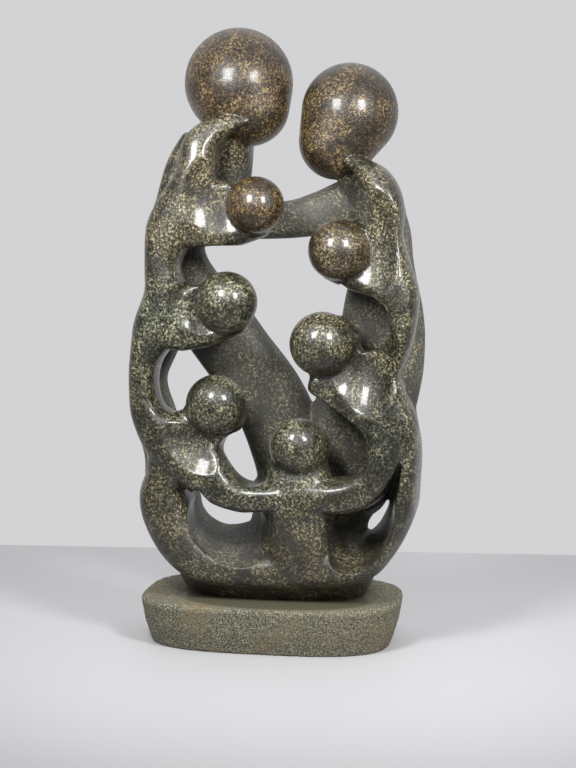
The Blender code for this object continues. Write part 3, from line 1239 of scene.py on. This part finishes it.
@dataclass(frozen=True)
class Studio:
    """Camera at the picture's angle, two soft lamps, a pale floor and a pale room.

    A window is the part of a direction's -1 to 1 over which the room's light changes.
    """

    azimuth: float = 10.0
    elevation: float = 6.2
    distance: float = 1.10
    target: Place = (0.0109, 0.0, 0.1782)
    focal_pixels: float = 1595.0
    picture_height: float = 768.0
    floor_colour: str = "#b9b9bb"
    floor_half: float = 1.6
    floor_back: float = 0.285
    floor_turn: float = math.radians(5.2)
    floor_roughness: float = 0.6
    room_colour: str = "#fdfdff"
    room_front: float = 0.22
    room_back: float = 0.66
    room_top: float = 0.55
    wall_window: Pair = (-0.7, 0.5)
    ceiling_window: Pair = (0.3, 0.9)
    aim: Place = (0.02, 0.0, 0.24)
    lamps: tuple[Lamp, ...] = (
        Lamp("left_lamp", (-0.09, -0.34, 0.45), 0.11, 0.16, 1.0),
        Lamp("right_lamp", (0.29, -0.34, 0.45), 0.12, 0.17, 1.2),
    )

    def build(self) -> None:
        """Sets up everything round the object."""
        self._camera()
        self._floor()
        self._room()
        for lamp in self.lamps:
            lamp.build(Vector(self.aim))

    def _camera(self) -> None:
        """Places the camera."""
        a, e = math.radians(self.azimuth), math.radians(self.elevation)
        back = Vector((math.sin(a) * math.cos(e), -math.cos(a) * math.cos(e), math.sin(e)))
        data = bpy.data.cameras.new("camera")
        data.lens = self.focal_pixels / self.picture_height * data.sensor_width
        camera = bpy.data.objects.new("camera", data)
        camera.location = Vector(self.target) + back * self.distance
        camera.rotation_euler = (-back).to_track_quat("-Z", "Y").to_euler()
        bpy.context.scene.collection.objects.link(camera)
        bpy.context.scene.camera = camera

    def _floor(self) -> None:
        """Lays the pale floor, which ends a little behind the object.

        The eye sees an even, matt pale grey that takes a soft shadow.
        """
        half, far = self.floor_half, self.floor_back
        corners = ((-half, -half, 0.0), (half, -half, 0.0), (half, far, 0.0), (-half, far, 0.0))
        turn = Matrix.Rotation(self.floor_turn, 3, "Z")
        mesh = bmesh.new()
        mesh.faces.new([mesh.verts.new(turn @ Vector(c)) for c in corners])
        floor = new_object("floor", mesh)
        material = bpy.data.materials.new("painted_board")
        material.use_nodes = True
        shader = material.node_tree.nodes["Principled BSDF"]
        shader.inputs["Base Color"].default_value = linear(self.floor_colour)
        shader.inputs["Roughness"].default_value = self.floor_roughness
        floor.data.materials.append(material)

    def _room(self) -> None:
        """Lights the room: pale behind the object and above it, dimmer in front."""
        world = bpy.data.worlds.new("room")
        bpy.context.scene.world = world
        world.use_nodes = True
        tree = world.node_tree
        sky = tree.nodes["Background"]
        sky.inputs["Color"].default_value = linear(self.room_colour)
        way = add_node(tree, "ShaderNodeTexCoord").outputs["Generated"]
        split = add_node(tree, "ShaderNodeSeparateXYZ", {0: way})
        wall = add_node(tree, "ShaderNodeMapRange", {
            "Value": split.outputs["Y"], **window(*self.wall_window),
            "To Min": self.room_front, "To Max": self.room_back,
        }, interpolation_type="SMOOTHSTEP")
        ceiling = add_node(tree, "ShaderNodeMapRange", {
            "Value": split.outputs["Z"], **window(*self.ceiling_window), "To Max": self.room_top,
        }, interpolation_type="SMOOTHSTEP")
        total = add_node(tree, "ShaderNodeMath", {
            0: wall.outputs[0], 1: ceiling.outputs[0],
        }, operation="ADD")
        tree.links.new(total.outputs[0], sky.inputs["Strength"])
        bpy.context.scene.view_settings.view_transform = "Standard"


FRONT_LIMBS = (
    Limb("father_arm", (
        (-11, 356, 3.5, -18, 12.5), (-22, 355, 6, -20, 14), (-34, 350, 9.5, -21, 18),
        (-43.5, 339, 12.5, -24, 20), (-46, 321, 13, -28, 19), (-53, 301, 18), (-64, 283, 16.5),
        (-69.5, 262, 11.5), (-68, 240, 14), (-75, 217, 15), (-82, 196, 10), (-83.5, 177, 9),
        (-79, 158, 12), (-62, 139, 20), (-43, 123, 18), (-27, 109, 13), (-10, 104, 11),
        (19, 105, 11),
    )),
    Limb("mother_arm", (
        (52, 330, 5, -12, 12), (64, 325, 7, -17, 17), (75, 316, 10, -23, 19),
        (81, 301, 12, -28, 19), (80, 281, 13), (82, 260, 16), (90, 242, 14), (93, 228, 10),
        (90, 208, 9), (80, 190, 12), (76, 177, 14), (84, 163, 17), (86, 147, 18), (80, 131, 13),
        (72.5, 116, 13), (54, 107, 12.5), (27, 106, 12),
    )),
    Limb("left_leg", (
        (-74, 140, 9, -18, 20), (-70, 120, 13, -18, 25), (-71, 100, 17.5, -16, 29),
        (-62, 77, 18, -14, 31), (-48, 61, 17, -12, 32), (-28, 54, 15, -10, 33),
        (24, 53, 15, -9, 33),
    )),
    Limb("right_leg", (
        (93, 157, 9, -18, 20), (95, 138, 10, -18, 24), (94, 115, 10, -17, 28),
        (91, 96, 10.5, -15, 30), (76, 73, 14, -13, 32), (57, 59, 15, -11, 33), (4, 53, 15, -9, 33),
    )),
    Limb("first_child", (
        (-59, 292, 19), (-44, 293, 22, -26, 16), (-26, 295, 23, *DISH), (-6, 299, 20.5, *DISH),
    )),
    Limb("second_child", (
        (90, 250, 13), (77, 256, 17, -26, 16), (64, 263, 20, *DISH), (52, 270.5, 22, *DISH),
    )),
    Limb("third_child", (
        (-71, 223, 19), (-60, 225, 23, -26, 16), (-46, 227, 23, *DISH), (-26.5, 235, 22.5, *DISH),
    )),
    Limb("fourth_child", (
        (84, 168, 22), (74, 170, 27, -27, 17), (58, 175, 22, *DISH), (46, 179, 16, *DISH),
        (34, 182, 9, *DISH),
    )),
    Limb("fourth_child_neck", ((74, 186, 14), (57, 197, 19, *DISH), (41, 208, 23, *DISH))),
    Limb("fifth_child", (
        (-73, 143, 11), (-57, 143, 17, -27, 17), (-43, 151, 21, *DISH), (-33.5, 165, 22, *DISH),
    )),
    Limb("sixth_child", (
        (23.5, 141, 20.6, *DISH), (23.5, 125, 21, -26, 16), (23.5, 110, 22, -28, 18),
        (25, 92, 22.5, -22, 25), (25, 72, 23, -20, 27), (25, 56, 22, -18, 25),
    )),
)
BACK_LIMBS = (
    Limb("father_neck", (
        (-26, 354, 14, -3, 18), (-33, 326, 17, 8, 17), (-42, 300, 19, 18, 17), (-52, 286, 18),
    ), BACK),
    Limb("father_body", (
        (-30, 350, 13, 3, 16), (-52, 334, 15, 12, 17), (-62, 314, 17.5, 19, 18), (-72, 282, 20),
        (-74, 245, 17), (-86, 206, 15), (-93, 178, 11.5), (-88, 150, 14), (-81, 125, 14.5, 20, 19),
        (-76, 98, 17, 16, 21), (-61, 69, 18, 12, 24), (-36, 56, 21, 10, 26), (0, 58, 23, 10, 26),
    ), BACK),
    Limb("father_thigh", (
        (-66, 294, 19), (-70, 269, 17), (-63, 243, 22), (-46, 220, 25), (-29, 197, 25),
        (-8, 168, 26), (6, 138, 27), (16, 110, 31, 20, 20), (12, 82, 33, 3, 34),
        (25, 54, 31, 4, 32),
    ), BACK),
    Limb("father_side", (
        (-54, 346, 7), (-62, 330, 9), (-66, 316, 10), (-70, 296, 11), (-76, 266, 9), (-78, 232, 9),
    ), SIDE),
    Limb("mother_body", (
        (54, 326, 12, 2, 18), (66, 308, 16, 13, 17), (75, 284, 17, 20, 18), (74, 256, 22),
        (74, 222, 28.5), (74, 190, 28.5), (63, 162, 34), (50, 134, 33), (48, 108, 30, 20, 19),
        (43, 82, 29, 3, 34), (36, 58, 28, 10, 26),
    ), BACK),
    Limb("mother_leg", (
        (83, 170, 13), (90, 145, 9), (87, 120, 12, 20, 20), (83, 98, 14, 16, 22),
        (76, 74, 13, 12, 25), (56, 57, 18, 10, 26),
    ), BACK),
    Limb("mother_side", (
        (68, 322, 7), (82, 302, 8), (86, 272, 8), (91, 246, 8),
    ), SIDE),
    Limb("clasped_arm", (
        (-25, 290, 13, 17, 14), (9, 291, 13, 17, 14), (30, 295, 15, 17, 14), (51, 301, 18, 15, 15),
    )),
)
DISHES = (
    Dish("first_dish", (-20, -76.5, 303), (43.5, 43.5, 56)),
    Dish("first_dish_top", (-14, -76.5, 318), (40, 43, 50)),
    Dish("second_dish", (62, -82, 276), (48, 48, 66)),
    Dish("third_dish", (-33, -93, 236), (48, 62, 62)),
    Dish("fourth_dish", (65, -94, 199), (43, 64, 62)),
    Dish("fifth_dish", (-37, -87, 150), (50, 50, 50)),
)
BAYS = (
    Bay("father_neck", (
        (-9, 355.3), (-15.6, 352.8), (-23, 349), (-28, 343.5), (-30, 336), (-30, 325), (-27.5, 317),
        (-20.5, 312.5),
    ), ((-8, 318), (1, 322), (20, 327), (20, 357))),
    Bay("mother_neck", (
        (52.6, 329), (57.5, 324.4), (62.5, 318.8), (68, 312), (72, 303.5), (73, 295.5), (71, 289),
        (67, 285.2),
    ), ((65.9, 289.7), (59, 295), (49.4, 296.2), (38.2, 294.2), (33, 310.4), (42.7, 326.6))),
    Bay("under_first_child", (
        (1, 273.5), (-24, 273.8), (-38, 273.4), (-46, 271.7), (-51.5, 268.5), (-55, 263.5),
        (-56, 257.5), (-54.5, 251), (-50.5, 247), (-45, 247), (-41, 250),
    ), ((-37, 254.6), (-29, 259.3), (-20.7, 261), (0, 265))),
    Bay("under_second_child", (
        (51.5, 249.3), (57, 245.3), (64, 243), (72.7, 240.3), (79.5, 237), (84, 231.3), (86, 224.5),
        (85.5, 217), (82, 210.3), (77.5, 206), (71.5, 204), (65.5, 203.7), (63, 207.4),
    ), ((64.2, 216), (61, 226), (53, 232), (43, 241.4))),
    Bay("under_third_child", (
        (-22, 211.5), (-28, 209.3), (-38, 205.6), (-50, 203.7), (-58.5, 201.5), (-66, 197),
        (-71, 190.5), (-72.5, 182), (-71.5, 173), (-67.5, 166.5), (-62, 162.3), (-57, 162.2),
        (-54, 166),
    ), ((-52.2, 174), (-46.5, 185), (-37, 190.5), (-26, 192.7), (-14, 208))),
    Bay("under_fifth_child", (
        (-17, 149.2), (-24, 146.2), (-29, 142), (-30.8, 136), (-28, 128), (-22, 119.7),
        (-14, 113.6), (-6, 112.5), (-0.5, 114.5), (4, 120.5), (5.2, 130), (4.8, 141),
    ), ((3.4, 151.7), (0.7, 155), (-7.4, 161.5))),
    Bay("under_fourth_child", (
        (44.5, 146), (43.6, 136), (41.6, 128), (44.5, 121), (53, 117.8), (62.7, 119.7), (69, 126),
        (71.5, 135), (70.5, 143), (66, 152), (56.5, 160), (43, 169.3), (32.5, 176), (28.4, 180),
    ), ((23.7, 175), (26.4, 164.3), (38.5, 159.2))),
)
HOLLOWS = (
    Hollow("left_hollow", (
        (-45, 111), (-33, 101), (-14, 95.5), (4, 96), (8.5, 84), (6.5, 67), (-10, 57), (-32, 61.5),
        (-48, 77), (-51.5, 96),
    ), (
        (-58, 91), (-50, 93), (-38, 92), (-28, 89), (-26, 86), (-28.5, 81.5), (-34, 77), (-42, 75),
        (-52, 79), (-57.5, 85),
    )),
    Hollow("right_hollow", (
        (94.8, 134.5), (86.5, 120), (76, 106), (62, 98), (46, 96), (41.5, 89), (42.5, 74),
        (48, 59.5), (62, 56), (78, 64.5), (88, 82), (91.5, 106),
    ), (
        (76.5, 93), (75.5, 91.5), (74, 88.5), (72, 85), (69.5, 81), (67, 77), (65, 73.5),
        (64.8, 72.5), (66.5, 73), (71, 78.5), (75, 86), (77, 91.5),
    )),
)


def main() -> None:
    """Builds the pieces in order and reports each."""
    logging.basicConfig(level=logging.INFO, format="%(name)s: %(message)s")
    Studio().build()
    for piece in (Figure().build(Serpentine()), Plinth().build(PeckedSerpentine())):
        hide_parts(NODE)
        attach(piece, BODY)
        LOG.info("%s: %d faces", piece.name, len(piece.data.polygons))


if __name__ == "__main__":
    main()
